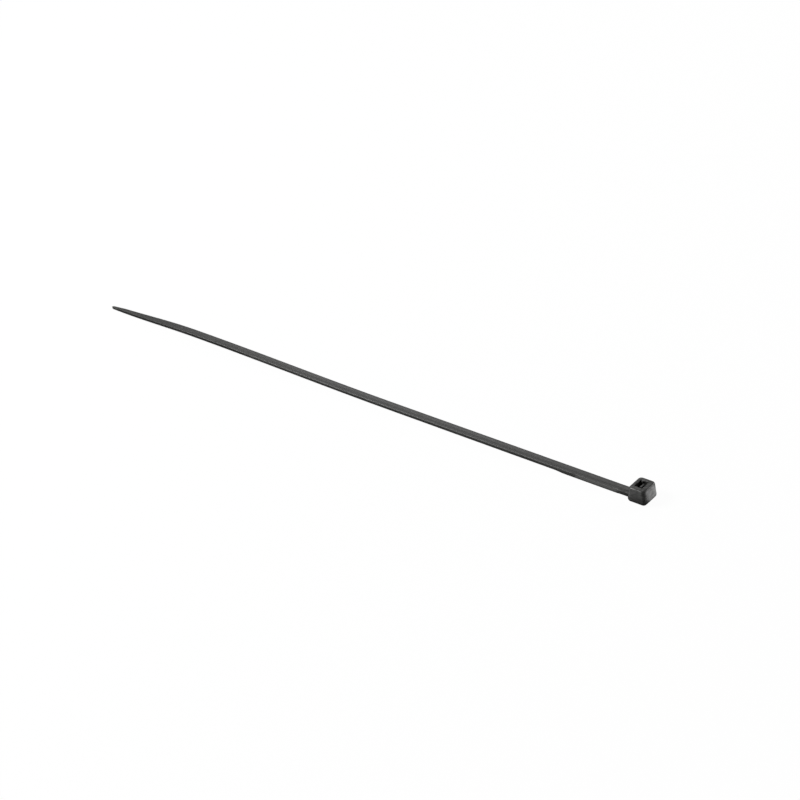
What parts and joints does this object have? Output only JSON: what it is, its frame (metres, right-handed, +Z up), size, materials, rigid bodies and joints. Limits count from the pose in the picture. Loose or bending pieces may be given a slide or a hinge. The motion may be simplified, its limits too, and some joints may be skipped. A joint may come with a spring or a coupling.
{
  "type": "cable tie",
  "caption": "One-piece self-locking nylon strap with a toothed underside, a drafted locking head with a pawl in its slot, and a tapered tail.",
  "frame": {"origin": "on the table, midway along the tie's length and on its middle plane", "axes": "+X along the strap from the tip to the head, +Y across the strap, +Z up, out of the smooth face and of the head's exit face"},
  "size_m": [0.2, 0.006, 0.0042],
  "materials": {
    "nylon": "satin as-moulded black nylon, with a slight sheen on rounded edges"
  },
  "bodies": {
    "root": {"cable_tie": "nylon"}
  },
  "joints": []
}
